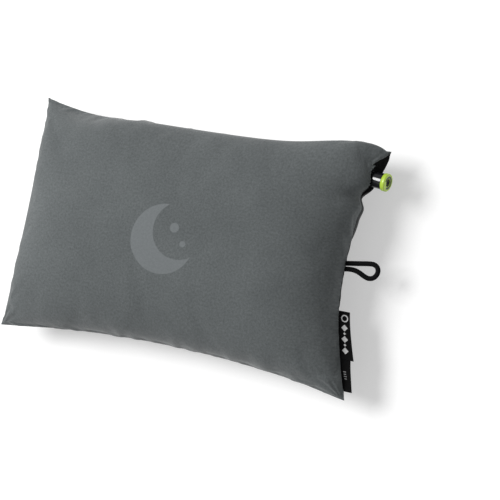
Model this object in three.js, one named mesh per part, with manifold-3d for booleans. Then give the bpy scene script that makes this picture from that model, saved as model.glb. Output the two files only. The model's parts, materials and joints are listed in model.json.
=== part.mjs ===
// Inflatable camp pillow with a foam comfort layer, lying on its back: +X runs along the
// pillow to the valve end, +Y across it, +Z up out of the soft face. Millimetres.
// The origin is the middle of the flat patch that the pillow rests on.

import * as THREE from "three";
import * as BufferGeometryUtils from "three/addons/utils/BufferGeometryUtils.js";
import Module from "manifold-3d";

// ---------------------------------------------------------------- driving dimensions

// Pillow body
const LENGTH = 430;
const WIDTH = 270;
const FRONT_LOFT = 57;
const BACK_LOFT = 43;
const BACK_SWELL = 46;
const VALVE_END_PULL = 30;
const PLAIN_END_PULL = 18;
const UPPER_SIDE_PULL = 10;
const LOWER_SIDE_PULL = 18;
const END_CROWN = 4;
const SIDE_CROWN = 3;

// Layers
const COVER_WALL = 1.2;
const LAYER_GAP = 0.4;
const SEAM_GAP = 0.3;
const FOAM_THICKNESS = 8;
const BLADDER_WALL = 0.7;
const BLADDER_INSET = 17;
const FLANGE_WIDTH = 8;
const BAFFLE_WALL = 0.8;

// Grid lines that every layer shares
const LINES_X = 14;
const LINES_Y = 10;
const FOAM_LINES = { i: [2, 12], j: [2, 8] };
const BAFFLE_LINES_X = [3, 11];
const BAFFLE_LINES_Y = [3, 5, 7];
const OPENING_LINE = 4;
const UNDERLAP_LINE = 6;

// Valve, along its own axis from a point set back from the seam of the cover
const VALVE_FROM_CORNER = 32;
const VALVE_SET_BACK = 6;
const VALVE_TILT_UP = 9;
const VALVE_TURN_DOWN = 7;
const STEM_RADIUS = 6.2;
const STEM_WALL = 1.5;
const STEM_LEDGE = 0.7;
const STEM_INNER_END = -28;
const STEM_OUTER_END = 13;
const SLEEVE_WALL = 2.5;
const SLEEVE_START = 0.9;
const SLEEVE_LENGTH = 16.6;
const SLEEVE_CHAMFER = 0.5;
const CAP_OVERHANG = 0.9;
const CAP_CHAMBER = 0.2;
const CAP_SKIRT = 1.5;
const CAP_SKIRT_WALL = 1.3;
const CAP_FACE = 2.8;
const CAP_BEVEL = 0.9;
const MOUTH_RADIUS = 4.3;
const TWIST_RANGE = 270;
const TWIST_LIFT = 5;
const PEG_RADIUS = 0.9;
const PEG_REACH = 1.0;
const PEG_FROM_END = 2;
const SLOT_END_SWELL = 1.04;
const SEAL_SECTION = 0.8;
const SEAL_PLACE = 2.9;
const PIN_RADIUS = 2;
const PIN_HEAD_LENGTH = 2.9;
const PIN_RECESS = 0.4;
const PIN_CHAMFER = 0.4;
const PIN_SEAL_SECTION = 0.5;
const PIN_SEAL_SLACK = 0.1;
const PIN_FIN_WALL = 1.2;
const PIN_FIN_LENGTH = 6;
const PIN_FOOT = -9;
const BOAT_WIDTH = 40;
const BOAT_WALL = 2;
const BOAT_LENGTH = 13;
const BOAT_START = -26;
const FIT_GAP = 0.3;

// Valve port in the end seam
const PORT_FROM_CORNER = 31;
const PORT_LENGTH = 48;
const PORT_FINGER_GAP = 5;
const PORT_DEPTH = 15.5;
const PORT_OUTWARD = 2;
const POCKET_WALL = 1.2;

// Labels and the cord loop, sewn in the same seam
const TAG_WALL = 0.8;
const TAG_ROOT = 3;
const TAG_SPACING = 0.4;
const LABEL_LENGTH = 51;
const LABEL_REACH = 15;
const SIZE_TAG_FROM_CORNER = 6.5;
const SIZE_TAG_LENGTH = 33;
const SIZE_TAG_REACH = 11;
const CORD_DIAMETER = 5.5;
const CORD_SIDES = 8;
const CORD_STEPS = 30;
const CORD_ROUTE = [
  [183.6, 6.8, 43.0], [190.5, 8.0, 42.8], [197.5, 9.1, 42.2], [204.5, 10.3, 41.2],
  [211.0, 11.4, 40.2], [216.6, 11.6, 39.3], [220.6, 9.5, 38.5], [222.3, 5.4, 38.0],
  [221.5, 0.9, 37.9], [218.5, -2.8, 38.3], [214.0, -4.2, 39.3], [208.9, -2.8, 40.6],
  [203.6, -0.2, 41.8], [197.6, 1.6, 42.6], [190.5, 1.7, 42.9], [183.6, 0.5, 43.0],
];

const ROUND_SIDES = 24;
const SMALL_ROUND_SIDES = 8;
const SLOT_STEPS = 18;
const SLOT_SEGMENTS = 4;
const BALL_SIDES = { around: 8, across: 6 };
const LENS_SEGMENTS = 10;
const PORT_SIDES = { around: 20, across: 12 };

// ---------------------------------------------------------------- solids and booleans

const wasm = await Module();
wasm.setup();

function asSolid(geometry) {
  const bare = geometry.clone();
  bare.deleteAttribute("normal");
  bare.deleteAttribute("uv");
  const merged = BufferGeometryUtils.mergeVertices(bare, 1e-4);
  const vertProperties = new Float32Array(merged.attributes.position.array);
  const triVerts = new Uint32Array(withoutSlivers(merged.index.array));
  return new wasm.Manifold(new wasm.Mesh({ numProp: 3, vertProperties, triVerts }));
}

function withoutSlivers(index) {
  const kept = [];
  for (let k = 0; k < index.length; k += 3) {
    const [a, b, c] = [index[k], index[k + 1], index[k + 2]];
    if (a !== b && b !== c && c !== a) {
      kept.push(a, b, c);
    }
  }
  return kept;
}

function asGeometry(solid) {
  const mesh = solid.getMesh();
  const geometry = new THREE.BufferGeometry();
  geometry.setAttribute("position", new THREE.BufferAttribute(mesh.vertProperties, mesh.numProp));
  geometry.setIndex(new THREE.BufferAttribute(mesh.triVerts, 1));
  geometry.computeVertexNormals();
  return geometry;
}

function turned(profile, sides = ROUND_SIDES) {
  const points = profile.map(([radius, along]) => new THREE.Vector2(radius, along));
  points.push(points[0].clone());
  return asSolid(new THREE.LatheGeometry(points, sides).rotateX(Math.PI / 2));
}

function rod(radius, start, end, sides = ROUND_SIDES) {
  const geometry = new THREE.CylinderGeometry(radius, radius, end - start, sides);
  return asSolid(geometry.rotateX(Math.PI / 2).translate(0, 0, (start + end) / 2));
}

// ---------------------------------------------------------------- pillow surfaces

const gridX = (i) => Math.sin((i / LINES_X - 0.5) * Math.PI);
const gridY = (j) => Math.sin((j / LINES_Y - 0.5) * Math.PI);

// Point of the outline stretched over the grid: u and v run from -1 to 1.
function planPoint(u, v, inset) {
  const endPull = (u > 0 ? VALVE_END_PULL : PLAIN_END_PULL) * (1 - v * v);
  const sidePull = (v > 0 ? UPPER_SIDE_PULL : LOWER_SIDE_PULL) * (1 - u * u);
  const x = u * (LENGTH / 2 - inset - endPull);
  const y = v * (WIDTH / 2 - inset - sidePull);
  return new THREE.Vector2(x, y);
}

function crown(u, v) {
  return Math.sqrt((1 - Math.abs(u) ** END_CROWN) * (1 - Math.abs(v) ** SIDE_CROWN));
}

function frontPoint(i, j, inset, depth) {
  const plan = planPoint(gridX(i), gridY(j), inset);
  const rise = (FRONT_LOFT - depth) * crown(gridX(i), gridY(j));
  return new THREE.Vector3(plan.x, plan.y, BACK_LOFT + SEAM_GAP / 2 + rise);
}

function backPoint(i, j, inset, depth) {
  const plan = planPoint(gridX(i), gridY(j), inset);
  const fall = (BACK_SWELL - depth) * crown(gridX(i), gridY(j));
  return new THREE.Vector3(plan.x, plan.y, Math.max(BACK_LOFT - SEAM_GAP / 2 - fall, depth));
}

function seamPoint(y) {
  return planPoint(1, y / (WIDTH / 2), 0);
}

// Grid crossings round a block of the grid, in order, each once.
function rimOf([i0, i1], [j0, j1]) {
  const rim = [];
  for (let i = i0; i < i1; i++) {
    rim.push([i, j0]);
  }
  for (let j = j0; j < j1; j++) {
    rim.push([i1, j]);
  }
  for (let i = i1; i > i0; i--) {
    rim.push([i, j1]);
  }
  for (let j = j1; j > j0; j--) {
    rim.push([i0, j]);
  }
  return rim;
}

// Closed sheet between two surfaces that are given at the crossings of the grid lines.
function sheetSolid(lines, upper, lower) {
  const [i0, i1] = lines.i;
  const [j0, j1] = lines.j;
  const columns = i1 - i0;
  const rows = j1 - j0;
  const place = (geometry, nodes, surface) => {
    nodes.forEach(([i, j], k) => geometry.attributes.position.setXYZ(k, ...surface(i, j)));
    return geometry;
  };
  const nodes = [];
  for (let j = j1; j >= j0; j--) {
    for (let i = i0; i <= i1; i++) {
      nodes.push([i, j]);
    }
  }
  const top = place(new THREE.PlaneGeometry(1, 1, columns, rows), nodes, upper);
  const bottom = place(new THREE.PlaneGeometry(1, 1, columns, rows), nodes, lower);
  const index = diagonalIndex(nodes, columns, rows);
  top.setIndex(index);
  bottom.setIndex([...index].reverse());

  const rim = [...rimOf(lines.i, lines.j), [i0, j0]];
  const edge = new THREE.PlaneGeometry(1, 1, rim.length - 1, 1);
  rim.forEach(([i, j], k) => {
    edge.attributes.position.setXYZ(k, ...upper(i, j));
    edge.attributes.position.setXYZ(k + rim.length, ...lower(i, j));
  });
  return asSolid(BufferGeometryUtils.mergeGeometries([top, bottom, edge]));
}

// Two triangles for each cell, with diagonals that mirror about the middle lines.
function diagonalIndex(nodes, columns, rows) {
  const index = [];
  for (let r = 0; r < rows; r++) {
    for (let c = 0; c < columns; c++) {
      const a = r * (columns + 1) + c;
      const [i, j] = nodes[a];
      const [b, d] = [a + columns + 1, a + 1];
      const across = b + 1;
      const rising = (i < LINES_X / 2) === (j - 1 < LINES_Y / 2);
      index.push(...(rising ? [a, b, d, b, across, d] : [a, b, across, a, across, d]));
    }
  }
  return index;
}

const WHOLE = { i: [0, LINES_X], j: [0, LINES_Y] };

const frontSheet = (lines, inset, wall, depth = inset) =>
  sheetSolid(
    lines,
    (i, j) => frontPoint(i, j, inset, depth),
    (i, j) => frontPoint(i, j, inset + wall, depth + wall),
  );

const backSheet = (lines, inset, wall, depth = inset) =>
  sheetSolid(
    lines,
    (i, j) => backPoint(i, j, inset + wall, depth + wall),
    (i, j) => backPoint(i, j, inset, depth),
  );

function pillowSolid() {
  return sheetSolid(WHOLE, (i, j) => frontPoint(i, j, 0, 0), (i, j) => backPoint(i, j, 0, 0));
}

// ---------------------------------------------------------------- valve placing

const valveSeam = seamPoint(WIDTH / 2 - VALVE_FROM_CORNER);
const valveFrame = new THREE.Matrix4()
  .makeTranslation(valveSeam.x - VALVE_SET_BACK, valveSeam.y, BACK_LOFT)
  .multiply(new THREE.Matrix4().makeRotationZ(THREE.MathUtils.degToRad(-VALVE_TURN_DOWN)))
  .multiply(new THREE.Matrix4().makeRotationY(THREE.MathUtils.degToRad(90 - VALVE_TILT_UP)));

const inPillow = (solid) => solid.transform(valveFrame.elements);

// ---------------------------------------------------------------- valve pieces

const stemBore = STEM_RADIUS - STEM_WALL;
const pegPlace = STEM_OUTER_END - PEG_FROM_END;
const sleeveBore = STEM_RADIUS + FIT_GAP;
const sleeveRadius = sleeveBore + SLEEVE_WALL;
const sleeveEnd = SLEEVE_START + SLEEVE_LENGTH;
const capRadius = sleeveRadius + CAP_OVERHANG;
const sleeveNeck = capRadius - CAP_SKIRT_WALL - FIT_GAP;
const capSkirtStart = sleeveEnd - CAP_SKIRT;
const capSeat = sleeveEnd + FIT_GAP;
const capFaceStart = capSeat + CAP_CHAMBER;
const capEnd = capFaceStart + CAP_FACE;
const pinTop = capEnd - PIN_RECESS;
const pinHeadRadius = MOUTH_RADIUS - FIT_GAP - PIN_SEAL_SECTION;
const pinHeadStart = pinTop - PIN_HEAD_LENGTH;

function sealRing(centreRadius, section, place) {
  const torus = new THREE.TorusGeometry(centreRadius, section, SMALL_ROUND_SIDES, ROUND_SIDES);
  return asSolid(torus.translate(0, 0, place));
}

function valveStem() {
  const tube = turned([
    [stemBore - STEM_LEDGE, STEM_INNER_END],
    [STEM_RADIUS, STEM_INNER_END],
    [STEM_RADIUS, STEM_OUTER_END],
    [stemBore, STEM_OUTER_END],
    [stemBore, PIN_FOOT - FIT_GAP],
    [stemBore - STEM_LEDGE, PIN_FOOT - FIT_GAP],
  ]);
  const wall = STEM_RADIUS - STEM_WALL / 2;
  const pegs = [0, Math.PI].map((turn) => {
    const length = STEM_RADIUS + PEG_REACH - wall;
    const peg = new THREE.CylinderGeometry(PEG_RADIUS, PEG_RADIUS, length, SMALL_ROUND_SIDES);
    peg.rotateZ(Math.PI / 2).translate(wall + length / 2, 0, pegPlace).rotateZ(turn);
    return asSolid(peg);
  });
  return pegs.reduce((stem, peg) => stem.add(peg), tube);
}

// Helical slots in the sleeve that the two stem pegs run in.
class SlotPath extends THREE.Curve {
  constructor(turn) {
    super();
    this.turn = turn;
  }

  getPoint(t, target = new THREE.Vector3()) {
    const angle = this.turn - THREE.MathUtils.degToRad(TWIST_RANGE) * t;
    const along = pegPlace - TWIST_LIFT * t;
    return target.set(sleeveBore * Math.cos(angle), sleeveBore * Math.sin(angle), along);
  }
}

function pegSlot(turn) {
  const section = new THREE.Shape().absarc(0, 0, PEG_RADIUS + FIT_GAP, 0, 2 * Math.PI);
  const path = new SlotPath(turn);
  const bends = { steps: SLOT_STEPS, curveSegments: SLOT_SEGMENTS, extrudePath: path };
  const slot = asSolid(new THREE.ExtrudeGeometry(section, bends));
  const ends = [0, 1].map((t) => {
    const radius = (PEG_RADIUS + FIT_GAP) * SLOT_END_SWELL;
    const end = new THREE.SphereGeometry(radius, BALL_SIDES.around, BALL_SIDES.across);
    return asSolid(end.translate(...path.getPoint(t)));
  });
  return ends.reduce((whole, end) => whole.add(end), slot);
}

function valveSleeve() {
  const groove = SEAL_SECTION + FIT_GAP;
  const grooveRadius = sleeveBore + 2 * SEAL_SECTION + FIT_GAP;
  const body = turned([
    [sleeveBore, SLEEVE_START],
    [sleeveRadius - SLEEVE_CHAMFER, SLEEVE_START],
    [sleeveRadius, SLEEVE_START + SLEEVE_CHAMFER],
    [sleeveRadius, capSkirtStart - FIT_GAP],
    [sleeveNeck, capSkirtStart - FIT_GAP],
    [sleeveNeck, sleeveEnd],
    [sleeveBore, sleeveEnd],
    [sleeveBore, SEAL_PLACE + groove],
    [grooveRadius, SEAL_PLACE + groove],
    [grooveRadius, SEAL_PLACE - groove],
    [sleeveBore, SEAL_PLACE - groove],
  ]);
  return body.subtract(pegSlot(0)).subtract(pegSlot(Math.PI));
}

function valveCap() {
  const inner = sleeveNeck + FIT_GAP;
  return turned([
    [inner, capSkirtStart],
    [capRadius, capSkirtStart],
    [capRadius, capEnd - CAP_BEVEL],
    [capRadius - CAP_BEVEL, capEnd],
    [MOUTH_RADIUS + CAP_BEVEL / 2, capEnd],
    [MOUTH_RADIUS, capEnd - CAP_BEVEL / 2],
    [MOUTH_RADIUS, capFaceStart],
    [sleeveBore, capFaceStart],
    [sleeveBore, capSeat],
    [inner, capSeat],
  ]);
}

function valvePin() {
  const groove = PIN_SEAL_SECTION + FIT_GAP;
  const sealPlace = pinHeadStart + PIN_HEAD_LENGTH / 2;
  const body = turned([
    [0, PIN_FOOT],
    [PIN_RADIUS, PIN_FOOT],
    [PIN_RADIUS, pinHeadStart],
    [pinHeadRadius, pinHeadStart],
    [pinHeadRadius, sealPlace - groove],
    [pinHeadRadius - PIN_SEAL_SECTION, sealPlace - groove],
    [pinHeadRadius - PIN_SEAL_SECTION, sealPlace + groove],
    [pinHeadRadius, sealPlace + groove],
    [pinHeadRadius, pinTop - PIN_CHAMFER],
    [pinHeadRadius - PIN_CHAMFER, pinTop],
    [0, pinTop],
  ]);
  const root = PIN_RADIUS / 2;
  const tip = stemBore - FIT_GAP;
  const fins = [0, 1, 2].map((k) => {
    const fin = new THREE.BoxGeometry(tip - root, PIN_FIN_WALL, PIN_FIN_LENGTH);
    fin.translate((tip + root) / 2, 0, PIN_FOOT + PIN_FIN_LENGTH / 2);
    return asSolid(fin.rotateZ((k * 2 * Math.PI) / 3));
  });
  return fins.reduce((pin, fin) => pin.add(fin), body);
}

function pinSeal() {
  const section = PIN_SEAL_SECTION - PIN_SEAL_SLACK;
  return sealRing(pinHeadRadius + FIT_GAP / 2, section, pinHeadStart + PIN_HEAD_LENGTH / 2);
}

function sleeveSeal() {
  return sealRing(sleeveBore + SEAL_SECTION + FIT_GAP / 2, SEAL_SECTION, SEAL_PLACE);
}

function boatSolid(grow) {
  const half = BOAT_WIDTH / 2 + 2 * grow;
  const rise = 2 * (STEM_RADIUS + FIT_GAP + BOAT_WALL + grow);
  const lens = new THREE.Shape();
  lens.moveTo(0, -half).quadraticCurveTo(rise, 0, 0, half).quadraticCurveTo(-rise, 0, 0, -half);
  const depth = BOAT_LENGTH + 2 * grow;
  const flat = { depth, bevelEnabled: false, curveSegments: LENS_SEGMENTS };
  return asSolid(new THREE.ExtrudeGeometry(lens, flat).translate(0, 0, BOAT_START - grow));
}

function valveBoat() {
  const bore = rod(STEM_RADIUS + FIT_GAP, STEM_INNER_END - FIT_GAP, STEM_OUTER_END);
  return boatSolid(0).subtract(bore);
}

// ---------------------------------------------------------------- port in the end seam

const portCentre = seamPoint(WIDTH / 2 - PORT_FROM_CORNER);
const portHalfHeight = sleeveRadius + PORT_FINGER_GAP;

function portEllipsoid(shrink) {
  const ball = new THREE.SphereGeometry(1, PORT_SIDES.around, PORT_SIDES.across);
  ball.scale(
    PORT_DEPTH + PORT_OUTWARD - shrink,
    PORT_LENGTH / 2 - shrink,
    portHalfHeight - shrink,
  );
  return asSolid(ball.translate(portCentre.x + PORT_OUTWARD, portCentre.y, BACK_LOFT));
}

function stemPassage() {
  return inPillow(rod(STEM_RADIUS + FIT_GAP, STEM_INNER_END - FIT_GAP, capEnd));
}

function valvePocket() {
  const cup = portEllipsoid(FIT_GAP).subtract(portEllipsoid(FIT_GAP + POCKET_WALL));
  return cup.intersect(pillowSolid()).subtract(stemPassage());
}

// ---------------------------------------------------------------- labels and cord

function tagSolid(top, length, reach, grow) {
  const upper = seamPoint(top + grow);
  const lower = seamPoint(top - length - grow);
  const outline = new THREE.Shape([
    new THREE.Vector2(upper.x - TAG_ROOT - grow, upper.y),
    new THREE.Vector2(lower.x - TAG_ROOT - grow, lower.y),
    new THREE.Vector2(lower.x + reach, lower.y),
    new THREE.Vector2(upper.x + reach, upper.y),
  ]);
  const depth = TAG_WALL + 2 * grow;
  const block = new THREE.ExtrudeGeometry(outline, { depth, bevelEnabled: false });
  return asSolid(block.translate(0, 0, BACK_LOFT - depth / 2));
}

const sizeTagTop = SIZE_TAG_FROM_CORNER + SIZE_TAG_LENGTH - WIDTH / 2;
const labelTop = sizeTagTop + TAG_SPACING + LABEL_LENGTH;
const sideLabel = (grow) => tagSolid(labelTop, LABEL_LENGTH, LABEL_REACH, grow);
const sizeTag = (grow) => tagSolid(sizeTagTop, SIZE_TAG_LENGTH, SIZE_TAG_REACH, grow);

function cordTube(diameter) {
  const route = new THREE.CatmullRomCurve3(CORD_ROUTE.map((p) => new THREE.Vector3(...p)));
  const section = new THREE.Shape();
  for (let k = 0; k < CORD_SIDES; k++) {
    const angle = (k * 2 * Math.PI) / CORD_SIDES;
    const corner = [(Math.cos(angle) * diameter) / 2, (Math.sin(angle) * diameter) / 2];
    k === 0 ? section.moveTo(...corner) : section.lineTo(...corner);
  }
  return asSolid(new THREE.ExtrudeGeometry(section, { steps: CORD_STEPS, extrudePath: route }));
}

// Ends of the passage that the cord is sewn into, a little longer than the cord.
function cordRoots() {
  const ends = [CORD_ROUTE[0], CORD_ROUTE[CORD_ROUTE.length - 1]].map((point) => {
    const length = 2 * CORD_DIAMETER;
    const radius = CORD_DIAMETER / 2 + FIT_GAP;
    const end = new THREE.CylinderGeometry(radius, radius, length, SMALL_ROUND_SIDES);
    return asSolid(end.rotateZ(Math.PI / 2).translate(...point));
  });
  return ends[0].add(ends[1]);
}

// ---------------------------------------------------------------- soft layers

function withSeamCuts(solid) {
  return solid
    .subtract(portEllipsoid(0))
    .subtract(sideLabel(FIT_GAP))
    .subtract(sizeTag(FIT_GAP))
    .subtract(cordTube(CORD_DIAMETER + 2 * FIT_GAP))
    .subtract(cordRoots());
}

const coverFront = () => withSeamCuts(frontSheet(WHOLE, 0, COVER_WALL));

function coverBackUpper() {
  return withSeamCuts(backSheet({ i: WHOLE.i, j: [OPENING_LINE, LINES_Y] }, 0, COVER_WALL));
}

// The lower back panel dips under the upper one and runs on below it as the underlap.
function coverBackLower() {
  const layer = (j) => (j >= OPENING_LINE ? COVER_WALL + LAYER_GAP : 0);
  const panel = sheetSolid(
    { i: WHOLE.i, j: [0, UNDERLAP_LINE] },
    (i, j) => backPoint(i, j, layer(j) + COVER_WALL, layer(j) + COVER_WALL),
    (i, j) => backPoint(i, j, layer(j), layer(j)),
  );
  return withSeamCuts(panel);
}

const foamStart = COVER_WALL + LAYER_GAP;
const foamTopper = () => frontSheet(FOAM_LINES, foamStart, FOAM_THICKNESS);

const bladderFrontDepth = foamStart + FOAM_THICKNESS + LAYER_GAP;
const bladderBackDepth = 2 * (COVER_WALL + LAYER_GAP) + LAYER_GAP;

function weldFlange(start) {
  const rim = rimOf(WHOLE.i, WHOLE.j);
  const edge = (inset) => rim.map(([i, j]) => planPoint(gridX(i), gridY(j), inset));
  const ring = new THREE.Shape(edge(BLADDER_INSET - FLANGE_WIDTH));
  ring.holes.push(new THREE.Path(edge(BLADDER_INSET + BLADDER_WALL / 2)));
  const band = new THREE.ExtrudeGeometry(ring, { depth: BLADDER_WALL, bevelEnabled: false });
  return asSolid(band.translate(0, 0, start));
}

function withValveCuts(solid) {
  return solid
    .subtract(inPillow(boatSolid(FIT_GAP)))
    .subtract(stemPassage())
    .subtract(portEllipsoid(0));
}

function bladderFront() {
  const dome = frontSheet(WHOLE, BLADDER_INSET, BLADDER_WALL, bladderFrontDepth);
  return withValveCuts(dome.add(weldFlange(BACK_LOFT + SEAM_GAP / 2)));
}

function bladderBack() {
  const dome = backSheet(WHOLE, BLADDER_INSET, BLADDER_WALL, bladderBackDepth);
  return withValveCuts(dome.add(weldFlange(BACK_LOFT - SEAM_GAP / 2 - BLADDER_WALL)));
}

// Internal web along a grid line, from the lower bladder sheet to the upper one.
function baffle(line) {
  const inset = BLADDER_INSET + BLADDER_WALL + LAYER_GAP;
  const top = bladderFrontDepth + BLADDER_WALL + LAYER_GAP;
  const bottom = bladderBackDepth + BLADDER_WALL + LAYER_GAP;
  const side = (offset) => (i, j) => {
    const point = j === 0 ? backPoint(i, line, inset, bottom) : frontPoint(i, line, inset, top);
    const plan = planPoint(gridX(i), gridY(line), inset);
    return new THREE.Vector3(plan.x, plan.y + offset, point.z);
  };
  const lines = { i: BAFFLE_LINES_X, j: [0, 1] };
  return sheetSolid(lines, side(-BAFFLE_WALL / 2), side(BAFFLE_WALL / 2));
}

// ---------------------------------------------------------------- materials

const finish = (color, roughness, metalness = 0) =>
  new THREE.MeshStandardMaterial({ color, roughness, metalness });

const faceFabric = finish("#676c6c", 0.95);
const backFabric = finish("#1c1d1e", 0.9);
const wovenTape = finish("#141516", 0.85);
const braidedCord = finish("#121314", 0.8);
const foam = finish("#d8d6cf", 0.95);
const bladderFilm = finish("#8d9396", 0.45);
const softPlastic = finish("#2a2c2e", 0.5);
const glossBlack = finish("#0b0c0d", 0.2);
const glossLime = finish("#a9c93f", 0.35);
const sealRubber = finish("#26282a", 0.6);

// ---------------------------------------------------------------- assembly

const pillow = new THREE.Group();
const valve = new THREE.Group();
valve.applyMatrix4(valveFrame);
pillow.add(valve);

function addPiece(parent, name, solid, material) {
  const mesh = new THREE.Mesh(asGeometry(solid), material);
  mesh.name = name;
  parent.add(mesh);
}

addPiece(pillow, "cover_front", coverFront(), faceFabric);
addPiece(pillow, "cover_back_upper", coverBackUpper(), backFabric);
addPiece(pillow, "cover_back_lower", coverBackLower(), backFabric);
addPiece(pillow, "valve_pocket", valvePocket(), backFabric);
addPiece(pillow, "side_label", sideLabel(0), wovenTape);
addPiece(pillow, "size_tag", sizeTag(0), wovenTape);
addPiece(pillow, "cord_loop", cordTube(CORD_DIAMETER), braidedCord);
addPiece(pillow, "foam_topper", foamTopper(), foam);
addPiece(pillow, "bladder_front", bladderFront(), bladderFilm);
addPiece(pillow, "bladder_back", bladderBack(), bladderFilm);
BAFFLE_LINES_Y.forEach((line, k) => {
  addPiece(pillow, `baffle_${k + 1}`, baffle(line), bladderFilm);
});

addPiece(valve, "valve_boat", valveBoat(), softPlastic);
addPiece(valve, "valve_stem", valveStem(), glossBlack);
addPiece(valve, "valve_pin", valvePin(), glossBlack);
addPiece(valve, "pin_seal", pinSeal(), sealRubber);
addPiece(valve, "sleeve_seal", sleeveSeal(), sealRubber);
addPiece(valve, "valve_sleeve", valveSleeve(), glossBlack);
addPiece(valve, "valve_cap", valveCap(), glossLime);

export default pillow;
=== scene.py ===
"""Inflatable camp pillow: brushed grey face, black back, twist valve, cord loop and labels."""

import json
import math

import bmesh
import bpy
import numpy as np
from mathutils import Matrix, Vector


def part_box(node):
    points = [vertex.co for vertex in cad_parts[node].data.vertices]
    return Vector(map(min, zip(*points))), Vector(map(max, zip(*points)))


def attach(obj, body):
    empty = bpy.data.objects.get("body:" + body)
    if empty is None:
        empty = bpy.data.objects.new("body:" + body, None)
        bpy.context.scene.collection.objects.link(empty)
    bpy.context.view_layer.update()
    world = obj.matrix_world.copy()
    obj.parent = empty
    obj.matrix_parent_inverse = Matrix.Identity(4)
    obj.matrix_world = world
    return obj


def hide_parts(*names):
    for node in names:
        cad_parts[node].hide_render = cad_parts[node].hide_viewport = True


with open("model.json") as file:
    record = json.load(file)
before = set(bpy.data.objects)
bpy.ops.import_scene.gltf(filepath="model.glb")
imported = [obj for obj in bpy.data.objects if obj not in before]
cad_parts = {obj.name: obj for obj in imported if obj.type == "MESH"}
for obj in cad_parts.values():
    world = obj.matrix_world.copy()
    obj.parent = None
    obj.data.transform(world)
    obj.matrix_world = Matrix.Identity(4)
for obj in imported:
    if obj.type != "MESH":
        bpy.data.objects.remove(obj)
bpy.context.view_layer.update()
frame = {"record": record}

MM = 0.001

# ---------------------------------------------------------------- sizes from the frame

face_low, face_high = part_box("cover_front")
_, foam_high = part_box("foam_topper")
_, bladder_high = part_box("bladder_front")
base_low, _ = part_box("bladder_back")

HALF_LENGTH = face_high.x
HALF_WIDTH = face_high.y
SEAM_Z = face_low.z
FRONT_LOFT = face_high.z - SEAM_Z
BACK_SWELL = SEAM_Z + 3 * MM

# The seam's four sides are drawn in between their corners; the crowns say how square the form is.
VALVE_END_PULL = 30 * MM
PLAIN_END_PULL = 18 * MM
UPPER_SIDE_PULL = 10 * MM
LOWER_SIDE_PULL = 18 * MM
END_CROWN = 4
SIDE_CROWN = 3

JOINTS = {joint["name"]: joint for joint in frame["record"]["behaviour"]["joints"]}
VALVE_ROOT = Vector(JOINTS["sleeve_twist"]["pos_m"])
VALVE_AXIS = Vector(JOINTS["sleeve_twist"]["axis"]).normalized()

# Cover: its grid, its wall, and the rows of the back where the upper panel starts and the lower ends.
CLOTH_COLUMNS = 130
CLOTH_ROWS = 90
COVER_WALL = 0.9 * MM
OPENING_ROW = CLOTH_ROWS * 4 // 10
UNDERLAP_ROWS = 14
UNDERLAP_RISE = 1.9 * MM

# How much of the cloth's own movement is kept: its wrinkles, its broad swelling, and caps on both.
SWELL_CAP = 5 * MM
INWARD_CAP = 1.2 * MM
FACE_WRINKLES = 0.22
EDGE_WRINKLES = 0.8
EDGE_SHARE = 0.12
BROAD_SHARE = 0.15

# Sides that stand out past the seam: how soon the bulge rises from the seam and where it fades, as
# shares of the half size, then how far each side stands out, in millimetres.
SWELL_RISE = 0.012
SWELL_FADE = 0.24
PLAIN_END_SWELL = 12.0
VALVE_END_SWELL = 3.0
UPPER_SIDE_SWELL = 5.5
LOWER_SIDE_SWELL = 3.0
SHOULDER_SWELL = 12.0
UPPER_DIP = 6.0
LABEL_DIP = 3.5
BACK_SHARE = 0.6

# Port in the end seam: its ends as a share of the half width, then at some places along it how far
# the front edge is drawn back from the seam and how far each edge stands off it, in millimetres.
PORT_START = 0.600
PORT_END = 0.985
PORT_PLACES = (0.55, 0.60, 0.66, 0.72, 0.80, 0.86, 0.90, 0.945, 0.985)
HEM_BACK = (0.0, 0.0, 1.5, 1.5, 6.0, 9.5, 7.0, 2.5, 0.0)
HEM_RISE = (0.0, 0.0, 7.5, 10.5, 12.0, 11.0, 8.0, 3.5, 0.0)
HEM_DROP = (0.0, 0.0, 3.0, 5.5, 7.0, 6.5, 5.0, 2.5, 0.0)
HEM_REACH = 18 * MM
RISE_REACH = 26 * MM
NOTCH = 12 * MM
NOTCH_WIDTH = 0.032
NOTCH_LIP = 2.5 * MM
LIP_PLACE = PORT_START - 0.09
LIP_WIDTH = 0.035
PORT_DEPTH = 15 * MM
LINING_WALL = 0.8 * MM

# Corners: a blunt tip by the valve, a narrow ear with a waist behind it at the plain end, a toe at
# the lower corner of the valve end, and folds that run out from both lower corners.
TIP_PULL = 2.2 * MM
TIP_REACH = 7 * MM
EAR_LIFT = 3.5 * MM
EAR_LENGTH = 14 * MM
EAR_WIDTH = 30 * MM
WAIST_PULL = 4.5 * MM
WAIST_PLACE = 68 * MM
WAIST_LENGTH = 38 * MM
WAIST_WIDTH = 17 * MM
TOE_DROP = 3 * MM
TOE_LENGTH = 34 * MM
PUCKER = 1.3 * MM
PUCKER_START = 5 * MM
PUCKER_REACH = 27 * MM
PUCKER_FOLDS = 11

# Layers inside
FOAM_ALONG = (-0.86, 0.86)
FOAM_ACROSS = (-0.78, 0.78)
FOAM_WALL = 8 * MM
FOAM_CLEAR = 1.0 * MM
FILM_WALL = 0.6 * MM
FILM_INSET = 17 * MM
WEB_CLEAR = 1.2 * MM
WEB_LINES = (-0.588, 0.0, 0.588)
WEB_SPAN = (-0.80, 0.80)

# Labels: what shows past the seam, and what is sewn in
LABEL_REACH = 15 * MM
SIZE_TAG_REACH = 11 * MM
LABEL_ROOT = 3 * MM
LABEL_WALL = 0.7 * MM

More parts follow.
